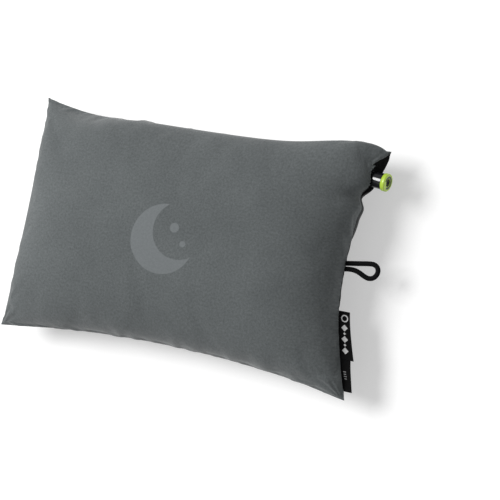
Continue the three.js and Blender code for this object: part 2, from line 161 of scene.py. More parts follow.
# Cord loop: diameter and the route of its centre, in millimetres
CORD_DIAMETER = 5.5 * MM
CORD_ROUTE = [
    (183.6, 6.8, 43.0), (190.5, 8.0, 42.8), (197.5, 9.1, 42.2), (204.5, 10.3, 41.2),
    (211.0, 11.4, 40.2), (216.6, 11.6, 39.3), (220.6, 9.5, 38.5), (222.3, 5.4, 38.0),
    (221.5, 0.9, 37.9), (218.5, -2.8, 38.3), (214.0, -4.2, 39.3), (208.9, -2.8, 40.6),
    (203.6, -0.2, 41.8), (197.6, 1.6, 42.6), (190.5, 1.7, 42.9), (183.6, 0.5, 43.0),
]

# Stitches
STITCH_PITCH = 3.2 * MM
STITCH_LENGTH = 2.4 * MM
THREAD_WIDTH = 0.55 * MM


# ---------------------------------------------------------------- camera, light and floor

def build_camera():
    place = Vector((0.6805, -0.0905, 1.5911))
    target = Vector((0.0742, 0.0032, 0.043))
    up_hint = Vector((-0.165, 0.979, 0.124))
    back = (place - target).normalized()
    right = up_hint.cross(back).normalized()
    up = back.cross(right)
    data = bpy.data.cameras.new("camera")
    data.sensor_width = 36
    data.lens = 108
    data.clip_end = 20
    camera = bpy.data.objects.new("camera", data)
    camera.matrix_world = Matrix.Translation(place) @ Matrix((right, up, back)).transposed().to_4x4()
    bpy.context.scene.collection.objects.link(camera)
    bpy.context.scene.camera = camera


def area_light(name, place, target, size, power):
    data = bpy.data.lights.new(name, "AREA")
    data.shape = "DISK"
    data.size = size
    data.energy = power
    light = bpy.data.objects.new(name, data)
    aim = (Vector(target) - Vector(place)).to_track_quat("-Z", "Y")
    light.matrix_world = Matrix.Translation(Vector(place)) @ aim.to_matrix().to_4x4()
    bpy.context.scene.collection.objects.link(light)


def build_studio():
    scene = bpy.context.scene
    scene.view_settings.view_transform = "Standard"
    world = bpy.data.worlds.new("studio")
    world.use_nodes = True
    sky = world.node_tree.nodes["Background"]
    sky.inputs["Color"].default_value = (1, 1, 1, 1)
    sky.inputs["Strength"].default_value = 0.33
    scene.world = world
    area_light("key", place=(-2.3, 0.55, 3.1), target=(0, 0, 0.05), size=2.2, power=178)
    floor_mesh = bpy.data.meshes.new("floor")
    edge = 12
    corners = [(-edge, -edge, 0), (edge, -edge, 0), (edge, edge, 0), (-edge, edge, 0)]
    floor_mesh.from_pydata(corners, [], [(0, 1, 2, 3)])
    floor = bpy.data.objects.new("floor", floor_mesh)
    glow = {"Emission Color": (1, 1, 1, 1), "Emission Strength": 0.42}
    floor.data.materials.append(Nodes("floor", (0.62, 0.62, 0.62), 0.9).set(**glow).material)
    scene.collection.objects.link(floor)


# ---------------------------------------------------------------- node helpers

class Nodes:
    """Short calls that add shader nodes to one material."""

    def __init__(self, name, colour=(0.5, 0.5, 0.5), roughness=0.5):
        self.material = bpy.data.materials.new(name)
        self.material.use_nodes = True
        self.tree = self.material.node_tree
        self.shader = self.tree.nodes["Principled BSDF"]
        self.set(**{"Base Color": (*colour, 1), "Roughness": roughness})

    def set(self, **values):
        for socket, value in values.items():
            self.shader.inputs[socket].default_value = value
        return self

    def add(self, kind, inputs=None, **settings):
        node = self.tree.nodes.new(kind)
        for key, value in settings.items():
            setattr(node, key, value)
        for socket, value in (inputs or {}).items():
            if isinstance(value, bpy.types.NodeSocket):
                self.tree.links.new(value, node.inputs[socket])
            else:
                node.inputs[socket].default_value = value
        return node

    def math(self, operation, first, second=0.0, third=0.0):
        inputs = {0: first, 1: second, 2: third}
        return self.add("ShaderNodeMath", inputs, operation=operation).outputs[0]

    def mix(self, factor, first, second, blend="MIX"):
        """Mixes two colours; 0, 6, 7 and 2 are the node's sockets for a colour mix."""
        node = self.tree.nodes.new("ShaderNodeMix")
        node.data_type = "RGBA"
        node.blend_type = blend
        for socket, value in ((0, factor), (6, first), (7, second)):
            if isinstance(value, bpy.types.NodeSocket):
                self.tree.links.new(value, node.inputs[socket])
            else:
                node.inputs[socket].default_value = value
        return node.outputs[2]

    def place(self, kind="UV"):
        return self.add("ShaderNodeTexCoord").outputs[kind]

    def axes(self, vector):
        split = self.add("ShaderNodeSeparateXYZ", {0: vector})
        return split.outputs[0], split.outputs[1], split.outputs[2]

    def noise(self, vector, scale, detail=3.0, roughness=0.5):
        inputs = {"Vector": vector, "Scale": scale, "Detail": detail, "Roughness": roughness}
        return self.add("ShaderNodeTexNoise", inputs).outputs["Fac"]

    def range(self, value, low, high, to_low=0.0, to_high=1.0):
        inputs = {0: value, 1: low, 2: high, 3: to_low, 4: to_high}
        return self.add("ShaderNodeMapRange", inputs).outputs[0]

    def stretched(self, vector, scale):
        return self.add("ShaderNodeMapping", {"Vector": vector, "Scale": scale}).outputs[0]

    def away(self, across, along, x, y):
        """Distance from the point x, y."""
        dx = self.math("SUBTRACT", across, x)
        dy = self.math("SUBTRACT", along, y)
        return self.math("SQRT", self.math("MULTIPLY_ADD", dx, dx, self.math("MULTIPLY", dy, dy)))

    def stripes(self, value, pitch):
        """A wave from 0 to 1 with that pitch, in metres."""
        turn = self.math("MULTIPLY", value, 2 * math.pi / pitch)
        return self.math("MULTIPLY_ADD", self.math("SINE", turn), 0.5, 0.5)

    def bump(self, height, distance, strength=1.0, under=None):
        inputs = {"Height": height, "Distance": distance, "Strength": strength}
        if under is not None:
            inputs["Normal"] = under
        return self.add("ShaderNodeBump", inputs).outputs[0]

    def wire(self, **sockets):
        for socket, value in sockets.items():
            self.tree.links.new(value, self.shader.inputs[socket.replace("_", " ")])
        return self.material


# ---------------------------------------------------------------- fabrics

def crescent_print(n, across, along):
    """1 inside a crescent moon with two round stars beside it, in the middle of the face."""
    soft = 0.35 * MM

    def disc(x, y, radius):
        return n.range(n.away(across, along, x, y), radius + soft, radius - soft)

    moon = disc(-5 * MM, -5 * MM, 38.5 * MM)
    bite = disc(13 * MM, 7 * MM, 32 * MM)
    crescent = n.math("MULTIPLY", moon, n.math("SUBTRACT", 1.0, bite))
    stars = n.math("ADD", disc(6 * MM, 9 * MM, 5.3 * MM), disc(19 * MM, -7 * MM, 3.4 * MM))
    return n.math("MINIMUM", n.math("ADD", crescent, stars), 1.0)


def brushed_face():
    """Heathered grey cloth with a short brushed nap and a tone-on-tone print."""
    n = Nodes("brushed_face", (0.098, 0.107, 0.109), 0.92)
    n.set(**{"Sheen Weight": 0.25, "Sheen Roughness": 0.45, "Specular IOR Level": 0.2})
    uv = n.place()
    across, along, _ = n.axes(uv)
    cloudy = n.noise(uv, 14.0, 5.0, 0.6)
    nap = n.range(n.noise(uv, 420.0, 5.0, 0.75), 0.3, 0.7)
    fibres = n.noise(n.stretched(uv, (1.0, 3.2, 1.0)), 420.0, 5.0, 0.65)
    tone = n.mix(n.range(cloudy, 0.35, 0.65), (0.089, 0.098, 0.100, 1), (0.104, 0.114, 0.116, 1))
    speckle = n.mix(nap, (0.72, 0.72, 0.72, 1), (1.28, 1.28, 1.28, 1))
    cloth = n.mix(1.0, tone, speckle, "MULTIPLY")
    ink = n.mix(nap, (0.138, 0.150, 0.155, 1), (0.165, 0.178, 0.184, 1))
    colour = n.mix(n.math("MULTIPLY", crescent_print(n, across, along), 0.85), cloth, ink)
    weave = n.math("MULTIPLY", n.stripes(across, 0.55 * MM), n.stripes(along, 0.55 * MM))
    nap_bump = n.bump(fibres, 0.25 * MM, 0.55, n.bump(weave, 0.06 * MM, 0.5))
    return n.wire(Base_Color=colour, Normal=nap_bump)


def black_weave(name="black_weave", pitch=0.5 * MM, colour=(0.013, 0.014, 0.015)):
    n = Nodes(name, colour, 0.78)
    n.set(**{"Sheen Weight": 0.12, "Sheen Roughness": 0.4, "Specular IOR Level": 0.3})
    uv = n.place()
    across, along, _ = n.axes(uv)
    checks = n.math("MULTIPLY", n.stripes(across, pitch), n.stripes(along, pitch))
    worn = n.noise(uv, 60.0, 4.0)
    darker = tuple(0.7 * c for c in colour)
    lighter = tuple(1.9 * c for c in colour)
    tone = n.mix(n.math("MULTIPLY", checks, worn), (*darker, 1), (*lighter, 1))
    bump = n.bump(checks, 0.12 * MM, 0.7, n.bump(worn, 0.8 * MM, 0.2))
    rough = n.range(worn, 0.3, 0.7, 0.7, 0.86)
    return n.wire(Base_Color=tone, Normal=bump, Roughness=rough)


def braided_nylon():
    n = Nodes("braided_nylon", (0.006, 0.006, 0.006), 0.7)
    n.set(**{"Specular IOR Level": 0.06})
    uv = n.place()
    strands = n.noise(n.stretched(uv, (1.0, 6.0, 1.0)), 1800.0)
    tone = n.mix(strands, (0.002, 0.002, 0.002, 1), (0.008, 0.008, 0.009, 1))
    return n.wire(Base_Color=tone, Normal=n.bump(strands, 0.12 * MM, 0.6))


def woven_label(name, marks):
    """Black damask tape with a pattern of small white marks; marks gives 1 where they are."""
    n = Nodes(name, (0.006, 0.006, 0.006), 0.8)
    n.set(**{"Specular IOR Level": 0.08})
    uv = n.place()
    across, along, _ = n.axes(uv)
    ribs = n.stripes(along, 0.32 * MM)
    picks = n.stripes(across, 0.42 * MM)
    weave = n.math("MULTIPLY", ribs, picks)
    black = n.mix(weave, (0.002, 0.002, 0.002, 1), (0.009, 0.009, 0.010, 1))
    white = n.mix(weave, (0.50, 0.50, 0.50, 1), (0.78, 0.78, 0.78, 1))
    inside = marks(n, across, along)
    colour = n.mix(inside, black, white)
    raised = n.math("MULTIPLY_ADD", inside, 0.6, n.math("MULTIPLY", weave, 0.4))
    return n.wire(Base_Color=colour, Normal=n.bump(raised, 0.12 * MM, 0.7))


def box_mark(n, across, along, x, y, half_x, half_y):
    dx = n.math("ABSOLUTE", n.math("SUBTRACT", across, x))
    dy = n.math("ABSOLUTE", n.math("SUBTRACT", along, y))
    soft = 0.08 * MM
    return n.math(
        "MULTIPLY",
        n.range(dx, half_x + soft, half_x - soft),
        n.range(dy, half_y + soft, half_y - soft),
    )


def diamond_mark(n, across, along, x, y, half):
    dx = n.math("ABSOLUTE", n.math("SUBTRACT", across, x))
    dy = n.math("ABSOLUTE", n.math("SUBTRACT", along, y))
    return n.range(n.math("ADD", dx, dy), half + 0.1 * MM, half - 0.1 * MM)


def ring_mark(n, across, along, x, y, radius, line):
    off_line = n.math("ABSOLUTE", n.math("SUBTRACT", n.away(across, along, x, y), radius))
    return n.range(off_line, line / 2 + 0.08 * MM, line / 2 - 0.08 * MM)


def together(n, marks):
    total = marks[0]
    for mark in marks[1:]:
        total = n.math("ADD", total, mark)
    return n.math("MINIMUM", total, 1.0)


def side_label_marks(n, across, along):
    middle = 8.0 * MM
    marks = [ring_mark(n, across, along, middle, 18 * MM, 3.3 * MM, 1.2 * MM)]
    marks += [diamond_mark(n, across, along, middle, y * MM, 3.6 * MM) for y in (8, -4, -16)]
    marks += [diamond_mark(n, across, along, middle, y * MM, 1.5 * MM) for y in (2, -10)]
    return together(n, marks)


def size_tag_marks(n, across, along):
    """Four short bars, every other one a little shorter, woven in a dimmer white."""
    bars = [
        box_mark(n, across, along, 4.6 * MM, (3.5 - 2.4 * k) * MM, (1.6 - 0.35 * (k % 2)) * MM, 0.4 * MM)
        for k in range(4)
    ]
    return n.math("MULTIPLY", together(n, bars), 0.5)


def thread(name, colour):
    n = Nodes(name, colour, 0.55)
    n.set(**{"Sheen Weight": 0.2})
    twist = n.noise(n.place("Object"), 2500.0, 2.0)
    darker = tuple(0.7 * c for c in colour)
    return n.wire(Base_Color=n.mix(twist, (*darker, 1), (*colour, 1)), Normal=n.bump(twist, 0.08 * MM, 0.5))


def open_cell_foam():
    n = Nodes("open_cell_foam", (0.68, 0.66, 0.60), 0.9)
    place = n.place("Object")
    cells = n.add("ShaderNodeTexVoronoi", {"Vector": place, "Scale": 1100.0}).outputs["Distance"]
    yellowing = n.noise(place, 12.0, 3.0)
    tone = n.mix(yellowing, (0.66, 0.63, 0.54, 1), (0.74, 0.73, 0.68, 1))
    return n.wire(Base_Color=tone, Normal=n.bump(cells, 0.4 * MM, 0.8))


def coated_nylon():
    n = Nodes("coated_nylon", (0.27, 0.30, 0.31), 0.42)
    place = n.place("Object")
    x, y, _ = n.axes(place)
    ripstop = n.math("MAXIMUM", n.stripes(x, 5 * MM), n.stripes(y, 5 * MM))
    grid_lines = n.range(ripstop, 0.97, 1.0)
    fine = n.noise(place, 700.0, 3.0)
    tone = n.mix(grid_lines, (0.25, 0.28, 0.30, 1), (0.34, 0.37, 0.38, 1))
    bump = n.bump(grid_lines, 0.15 * MM, 0.5, n.bump(fine, 0.08 * MM, 0.4))
    return n.wire(Base_Color=tone, Normal=bump, Roughness=n.range(fine, 0.3, 0.7, 0.36, 0.5))


# ---------------------------------------------------------------- plastics and rubber

def moulded(name, colour, roughness, grain=0.03 * MM, coat=0.0, engraved=None, specular=0.5):
    n = Nodes(name, colour, roughness)
    n.set(**{"Coat Weight": coat, "Coat Roughness": 0.08, "Specular IOR Level": specular})
    place = n.place("Object")
    texture = n.noise(place, 1400.0, 3.0)
    smudge = n.noise(place, 90.0, 3.0)
    darker = tuple(0.86 * c for c in colour)
    lighter = tuple(min(1.0, 1.10 * c) for c in colour)
    tone = n.mix(smudge, (*darker, 1), (*lighter, 1))
    # Painted shade: where the engraved attribute is set, the colour goes to the given dark colour, so the
    # engraved groove reads as shaded.
    if engraved:
        painted_groove_shade = n.add("ShaderNodeAttribute", attribute_name="engraved").outputs["Fac"]
        tone = n.mix(painted_groove_shade, tone, (*engraved, 1))
    rough = n.range(smudge, 0.3, 0.7, 0.8 * roughness, 1.25 * roughness)
    return n.wire(Base_Color=tone, Roughness=rough, Normal=n.bump(texture, grain, 0.35))


def make_materials():
    return {
        "face": brushed_face(),
        "back": black_weave(),
        "lining": black_weave("lining_weave", 0.35 * MM, (0.009, 0.009, 0.010)),
        "cord": braided_nylon(),
        "side_label": woven_label("side_label_weave", side_label_marks),
        "size_tag": woven_label("size_tag_weave", size_tag_marks),
        "black_thread": thread("black_thread", (0.02, 0.02, 0.022)),
        "grey_thread": thread("grey_thread", (0.11, 0.12, 0.12)),
        "foam": open_cell_foam(),
        "bladder": coated_nylon(),
        "soft_plastic": moulded("soft_plastic", (0.03, 0.032, 0.035), 0.5),
        "valve_black": moulded("valve_black", (0.008, 0.008, 0.010), 0.16, 0.01 * MM, 0.4),
        # The cap's engraved arc gets painted shade: a near-black green in its groove.
        "valve_lime": moulded(
            "valve_lime", (0.42, 0.60, 0.06), 0.34, 0.02 * MM, 0.15, engraved=(0.03, 0.05, 0.01),
        ),
        "pin_black": moulded("pin_black", (0.005, 0.006, 0.005), 0.5, 0.01 * MM, specular=0.12),
        "rubber": moulded("seal_rubber", (0.02, 0.021, 0.023), 0.6),
    }


# ---------------------------------------------------------------- mesh helpers

def piece(name, points, faces, material, body="pillow", replaces=(), uv=None):
    mesh = bpy.data.meshes.new(name)
    mesh.from_pydata([tuple(p) for p in points], [], faces)
    mesh.materials.append(material)
    for face in mesh.polygons:
        face.use_smooth = True
    if uv is not None:
        layer = mesh.uv_layers.new(name="flat")
        corner_points = np.empty(len(mesh.loops), dtype=np.int32)
        mesh.loops.foreach_get("vertex_index", corner_points)
        layer.data.foreach_set("uv", np.asarray(uv)[corner_points].astype(np.float32).ravel())
    mesh.update()
    obj = bpy.data.objects.new(name, mesh)
    bpy.context.scene.collection.objects.link(obj)
    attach(obj, body)
    if replaces:
        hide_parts(*replaces)
    return obj


def grid_faces(columns, rows, flip=False):
    """Quads over (rows + 1) lines of (columns + 1) points."""
    faces = []
    for j in range(rows):
        for i in range(columns):
            a = j * (columns + 1) + i
            quad = (a, a + 1, a + columns + 2, a + columns + 1)
            faces.append(quad[::-1] if flip else quad)
    return faces


def thicken(obj, wall, offset, levels=0):
    solid = obj.modifiers.new("wall", "SOLIDIFY")
    solid.thickness = wall
    solid.offset = offset
    if levels:
        smooth = obj.modifiers.new("smooth", "SUBSURF")
        smooth.levels = levels
        smooth.render_levels = levels


# ---------------------------------------------------------------- form of the pillow

def grade(count):
    """Grid lines from -1 to 1, closer together towards both ends."""
    return np.sin((np.arange(count + 1) / count - 0.5) * math.pi)


def outline(u, v, inset=0.0):
    """Plan of the pillow: u and v run from -1 to 1 along and across it."""
    end_pull = np.where(u > 0, VALVE_END_PULL, PLAIN_END_PULL) * (1 - v * v)
    side_pull = np.where(v > 0, UPPER_SIDE_PULL, LOWER_SIDE_PULL) * (1 - u * u)
    x = u * (HALF_LENGTH - inset - end_pull)
    y = v * (HALF_WIDTH - inset - side_pull)
    return x, y


def crown(u, v):
    """Height of the form as a share of its loft: 0 at the seam, 1 in the middle."""
    return np.sqrt(np.clip((1 - np.abs(u) ** END_CROWN) * (1 - np.abs(v) ** SIDE_CROWN), 0, 1))


def layer_points(u, v, inset, depth, front):
    """Points of a layer that lies inset and depth inside the outer surface."""
    x, y = outline(u, v, inset)
    if front:
        z = SEAM_Z + (FRONT_LOFT - depth) * crown(u, v)
    else:
        z = np.maximum(SEAM_Z - 0.3 * MM - (BACK_SWELL - depth) * crown(u, v), depth)
    return np.stack([x, y, z], axis=-1)


def port_share(v):
    """0 at both ends of the port in the end seam, up to 1 in its middle."""
    along = np.clip((v - PORT_START) / (PORT_END - PORT_START), 0, 1)
    return np.sin(math.pi * along) ** 0.7


def side_bulge(u, v):
    """How far the swollen sides stand out past the seam, in the plane of the seam."""
    def swell(from_seam):
        return (1 - np.exp(-from_seam / SWELL_RISE)) * np.exp(-((from_seam / SWELL_FADE) ** 2))

    def hump(place, middle, width):
        return np.exp(-(((place - middle) / width) ** 2))

    plain_end = PLAIN_END_SWELL * (1 - v * v)
    valve_end = VALVE_END_SWELL * (1 - v * v) * (1 - port_share(v)) - LABEL_DIP * hump(v, -0.42, 0.2)
    upper_side = UPPER_SIDE_SWELL * (1 - u * u) - UPPER_DIP * hump(u, -0.73, 0.2)
    upper_side += SHOULDER_SWELL * hump(u, 0.82, 0.27) * (1 - u**30)
    lower_side = LOWER_SIDE_SWELL * (1 - u * u)
    out_x = swell(1 - u) * valve_end - swell(1 + u) * plain_end
    out_y = swell(1 - v) * upper_side - swell(1 + v) * lower_side
    return out_x * MM, out_y * MM


def corner_tips(u, v):
    """Blunts the corner by the valve, draws the plain upper one out to an ear and drops the toe."""
    from_upper, from_lower = (1 - v) * HALF_WIDTH, (1 + v) * HALF_WIDTH
    from_valve_end, from_plain_end = (1 - u) * HALF_LENGTH, (1 + u) * HALF_LENGTH

    def near(along, across, length, width):
        return np.exp(-((along / length) ** 2) - (across / width) ** 2)

    blunt = TIP_PULL * np.exp(-(((from_valve_end + from_upper) / TIP_REACH) ** 2))
    ear = EAR_LIFT * near(from_plain_end, from_upper, EAR_LENGTH, EAR_WIDTH)
    waist = WAIST_PULL * near(from_plain_end - WAIST_PLACE, from_upper, WAIST_LENGTH, WAIST_WIDTH)
    drop = TOE_DROP * near(from_valve_end, from_lower, TOE_LENGTH, EAR_WIDTH)
    return -blunt, ear - waist - drop


def puckers(u, v):
    """Folds that run out from the two lower corners, where the seams gather the cloth."""
    along = (1 - np.abs(u)) * HALF_LENGTH
    across = (1 + v) * HALF_WIDTH
    away = np.hypot(along, across)
    fade = (1 - np.exp(-((away / PUCKER_START) ** 2))) * np.exp(-((away / PUCKER_REACH) ** 2))
    return PUCKER * fade * np.sin(PUCKER_FOLDS * np.arctan2(across, along + 1e-9))


def cover_start(front):
    """The cover before it is inflated: the outer form with the port drawn open."""
    u, v = np.meshgrid(grade(CLOTH_COLUMNS), grade(CLOTH_ROWS))
    points = layer_points(u, v, 0.0, 0.0, front)
    from_seam = (1 - u) * HALF_LENGTH
    near = np.exp(-((from_seam / HEM_REACH) ** 2))
    points[..., 0] -= NOTCH * near * np.exp(-(((v - PORT_START) / NOTCH_WIDTH) ** 2))
    points[..., 0] += NOTCH_LIP * near * np.exp(-(((v - LIP_PLACE) / LIP_WIDTH) ** 2))
    out_x, out_y = side_bulge(u, v)
    tip_x, tip_y = corner_tips(u, v)
    share = 1.0 if front else BACK_SHARE
    points[..., 0] += share * out_x + tip_x
    points[..., 1] += share * out_y + tip_y
    off_seam = points[..., 2] - SEAM_Z
    stand_off = HEM_RISE if front else HEM_DROP
    edge = MM * np.interp(v, PORT_PLACES, stand_off) * np.exp(-((from_seam / RISE_REACH) ** 2))
    off_seam = np.sqrt(off_seam**2 + edge**2)
    if front:
        points[..., 2] = SEAM_Z + off_seam + puckers(u, v)
        points[..., 0] -= MM * np.interp(v, PORT_PLACES, HEM_BACK) * near
    else:
        points[..., 2] = np.maximum(SEAM_Z - off_seam, 0)
    return broad_part(points, 1)


def inflate(front, back):
    """Runs the two sheets as one cloth, sewn along the seam, and returns them swollen."""
    rows, columns = front.shape[:2]
    front_points = np.arange(rows * columns).reshape(rows, columns)
    back_points = front_points + rows * columns
    grid_v = grade(CLOTH_ROWS)
    in_port = (grid_v > PORT_START) & (grid_v < PORT_END)
    sewn = np.zeros((rows, columns), dtype=bool)
    sewn[0, :] = sewn[-1, :] = True
    sewn[:, 0] = sewn[:, -1] = True
    sewn[in_port, -1] = False
    back_points[sewn] = front_points[sewn]
    start = np.concatenate([front.reshape(-1, 3), back.reshape(-1, 3)])

    cells = grid_faces(columns - 1, rows - 1)
    flat_back = back_points.ravel()
    faces = cells + [tuple(int(flat_back[k]) for k in cell[::-1]) for cell in cells]
    mesh = bpy.data.meshes.new("inflating")
    mesh.from_pydata([tuple(p) for p in start], [], faces)
    cloth_object = bpy.data.objects.new("inflating", mesh)
    bpy.context.scene.collection.objects.link(cloth_object)

    corners = [int(front_points[a, b]) for a in (0, -1) for b in (0, -1)]
    port = [int(grid[r, -1]) for grid in (front_points, back_points) for r in np.flatnonzero(in_port)]
    used = np.unique(np.concatenate([front_points.ravel(), flat_back]))
    spare = [int(k) for k in np.setdiff1d(np.arange(len(start)), used)]
    held = cloth_object.vertex_groups.new(name="held")
    held.add(corners + port + spare, 1.0, "REPLACE")
    gathered = cloth_object.vertex_groups.new(name="gathered")
    gathered.add([int(k) for k in front_points[sewn]], 1.0, "REPLACE")

    moved = simulated(cloth_object, len(start))
    bpy.data.objects.remove(cloth_object)
    bpy.data.meshes.remove(mesh)
    shift = moved - start
    sides = ((front_points, 1), (back_points, -1))
    return [settled(start[points], shift[points], side) for points, side in sides]


def simulated(cloth_object, count):
    """The cloth's points after twenty frames of pressure, with its seam gathered a little."""
    cloth = cloth_object.modifiers.new("cloth", "CLOTH")
    settings = cloth.settings
    settings.quality = 6
    settings.mass = 0.15
    settings.tension_stiffness = 18
    settings.compression_stiffness = 10
    settings.shear_stiffness = 4
    settings.bending_stiffness = 0.05
    settings.tension_damping = settings.compression_damping = settings.shear_damping = 10
    settings.air_damping = 2
    settings.use_pressure = True
    settings.uniform_pressure_force = 4
    settings.vertex_group_mass = "held"
    settings.vertex_group_shrink = "gathered"
    settings.shrink_min = -0.035
    settings.shrink_max = 0.035
    settings.effector_weights.gravity = 0
    cloth.collision_settings.use_collision = False
    scene = bpy.context.scene
    for number in range(1, 21):
        scene.frame_set(number)
    evaluated = cloth_object.evaluated_get(bpy.context.evaluated_depsgraph_get())
    moved = np.empty(count * 3)
    evaluated.data.vertices.foreach_get("co", moved)
    scene.frame_set(1)
    return moved.reshape(-1, 3)


def broad_part(field, reach=8):
    """The field averaged over neighbouring crossings of the grid."""
    for axis in (0, 1):
        if field.shape[axis] <= 2 * reach:
            continue
        edge = [(reach, reach) if k == axis else (0, 0) for k in range(3)]
        summed = np.cumsum(np.pad(field, edge, mode="edge"), axis=axis)
        summed = np.concatenate([np.zeros_like(np.take(summed, [0], axis)), summed], axis=axis)
        size = field.shape[axis]
        upper = np.take(summed, range(2 * reach + 1, 2 * reach + 1 + size), axis)
        lower = np.take(summed, range(size), axis)
        field = (upper - lower) / (2 * reach + 1)
    return field


def settled(form, shift, side):
    """The form with the cloth's wrinkles on it and a little of its broad movement, never far inward."""
    broad = broad_part(shift)
    u, v = np.meshgrid(grade(CLOTH_COLUMNS), grade(CLOTH_ROWS))
    from_edge = np.minimum(1 - np.abs(u), 1 - np.abs(v))[..., None]
    creased = FACE_WRINKLES + (EDGE_WRINKLES - FACE_WRINKLES) * np.exp(-((from_edge / EDGE_SHARE) ** 2))
    shift = creased * (shift - broad) + BROAD_SHARE * broad
    length = np.maximum(np.linalg.norm(shift, axis=-1, keepdims=True), 1e-9)
    shift = shift * np.minimum(length, SWELL_CAP) / length
    across = np.gradient(form, axis=1)
    along = np.gradient(form, axis=0)
    normal = side * np.cross(across, along)
    normal /= np.maximum(np.linalg.norm(normal, axis=-1, keepdims=True), 1e-12)
    outward = np.sum(shift * normal, axis=-1, keepdims=True)
    shift = shift + normal * np.maximum(-INWARD_CAP - outward, 0)
    points = form + shift
    points[..., 2] = np.maximum(points[..., 2], 0.0)
    return points


def flat_uv():
    """UV of the cover's grid: the plan of the pillow in metres, so that patterns keep their scale."""
    u, v = np.meshgrid(grade(CLOTH_COLUMNS), grade(CLOTH_ROWS))
    return np.stack(outline(u, v), axis=-1)


# ---------------------------------------------------------------- cover

def cover_panel(name, sheet, finish, node, first_row=0):
    """One fabric panel from the rows of a sheet, the first of which is that row of the cover."""
    rows = sheet.shape[0] - 1
    uv = flat_uv()[first_row : first_row + rows + 1]
    panel = piece(
        name, sheet.reshape(-1, 3), grid_faces(CLOTH_COLUMNS, rows, flip=finish == "back"),
        material[finish], replaces=[node], uv=uv.reshape(-1, 2),
    )
    thicken(panel, COVER_WALL, -1, 1)


def cover_pieces(front, back):
    cover_panel("face_panel", front, "face", "cover_front")
    upper = back[OPENING_ROW:]
    cover_panel("back_upper_panel", upper, "back", "cover_back_upper", OPENING_ROW)
    end = OPENING_ROW + UNDERLAP_ROWS
    lower = back[: end + 1].copy()
    dip = np.clip((np.arange(end + 1) - OPENING_ROW + 3) / 3, 0, 1)[:, None]
    lower[..., 2] += UNDERLAP_RISE * dip
    cover_panel("back_lower_panel", lower, "back", "cover_back_lower")


def port_lining(front, back):
    """The black cup between the two edges of the port, drawn in round the foot of the valve."""
    grid_v = grade(CLOTH_ROWS)
    rows = [r for r in range(len(grid_v)) if PORT_START - 0.012 < grid_v[r] < PORT_END + 0.006]
    across = 22
    points, flat = [], []
    for r in rows:
        top, bottom = front[r, -1], back[r, -1]
        share = float(port_share(np.array(grid_v[r])))
        for k in range(across + 1):
            t = k / across
            blend = 0.5 - 0.5 * math.cos(math.pi * t)
            sunk = PORT_DEPTH * share * math.sin(math.pi * t) ** 0.8
            points.append(top * (1 - blend) + bottom * blend - np.array([sunk, 0, 0]))
            flat.append((grid_v[r] * HALF_WIDTH, k * 1.5 * MM))
    lining = piece(
        "port_lining", points, grid_faces(across, len(rows) - 1), material["lining"],
        replaces=["valve_pocket"], uv=np.array(flat),
    )
    thicken(lining, LINING_WALL, 0, 1)


# ---------------------------------------------------------------- layers inside the cover

def slab_between(name, u_range, v_range, top, bottom, finish, node):
    """A closed slab between two surfaces, each a function of u and v."""
    columns, rows = 60, 44
    u, v = np.meshgrid(
        np.sin(np.linspace(*np.arcsin(u_range), columns + 1)),
        np.sin(np.linspace(*np.arcsin(v_range), rows + 1)),
    )
    upper, lower = top(u, v).reshape(-1, 3), bottom(u, v).reshape(-1, 3)
    count = len(upper)
    faces = grid_faces(columns, rows)
    faces += [tuple(k + count for k in f) for f in grid_faces(columns, rows, True)]
    rim = [(0, i) for i in range(columns)] + [(j, columns) for j in range(rows)]
    rim += [(rows, i) for i in range(columns, 0, -1)] + [(j, 0) for j in range(rows, 0, -1)]
    ring = [j * (columns + 1) + i for j, i in rim]
    for a, b in zip(ring, ring[1:] + ring[:1]):
        faces.append((b, a, a + count, b + count))
    points = np.concatenate([upper, lower])
    return piece(name, points, faces, material[finish], replaces=[node])


def foam_layer():
    """The comfort foam, a slab that follows the face."""
    depth = face_high.z - foam_high.z
    base_depth = depth + FOAM_WALL

    def top(u, v):
        return layer_points(u, v, depth, depth + FOAM_CLEAR, True)

    def bottom(u, v):
        return layer_points(u, v, base_depth, base_depth, True)

    foam = slab_between(
        "comfort_foam", FOAM_ALONG, FOAM_ACROSS, top, bottom, "foam", "foam_topper",
    )


def bladder():
    """Two coated sheets and the three webs that hold them together."""
    top_depth = face_high.z - bladder_high.z
    base_depth = base_low.z
    film_sheet("bladder_top_sheet", "bladder_front", True, top_depth)
    film_sheet("bladder_base_sheet", "bladder_back", False, base_depth)
    for number, v_line in enumerate(WEB_LINES, start=1):
        web_between_sheets(number, v_line, top_depth + WEB_CLEAR, base_depth + WEB_CLEAR)


def film_sheet(name, node, front, depth):
    """One welded half of the bladder, from rim to rim."""
    def outer(u, v):
        return layer_points(u, v, FILM_INSET, depth, front)

    def inner(u, v):
        return layer_points(u, v, FILM_INSET + FILM_WALL, depth + FILM_WALL, front)

    top, bottom = (outer, inner) if front else (inner, outer)
    slab_between(name, (-1, 1), (-1, 1), top, bottom, "bladder", node)


def web_between_sheets(number, v_line, top_depth, base_depth):
    columns, rows = 60, 10
    u = np.sin(np.linspace(*np.arcsin(WEB_SPAN), columns + 1))
    v = np.full_like(u, v_line)
    top = layer_points(u, v, FILM_INSET + WEB_CLEAR, top_depth, True)
    base = layer_points(u, v, FILM_INSET + WEB_CLEAR, base_depth, False)
    base[:, 1] = top[:, 1]
    share = np.linspace(0, 1, rows + 1)[:, None, None]
    points = base[None] * (1 - share) + top[None] * share
    web = piece(
        f"web_{number}", points.reshape(-1, 3), grid_faces(columns, rows), material["bladder"],
        replaces=[f"baffle_{number}"],
    )
    thicken(web, FILM_WALL, 0)


# ---------------------------------------------------------------- labels

def seam_x(y):
    """Where the seam of the valve end lies at that y."""
    v = y / HALF_WIDTH
    return HALF_LENGTH - VALVE_END_PULL * (1 - v * v)


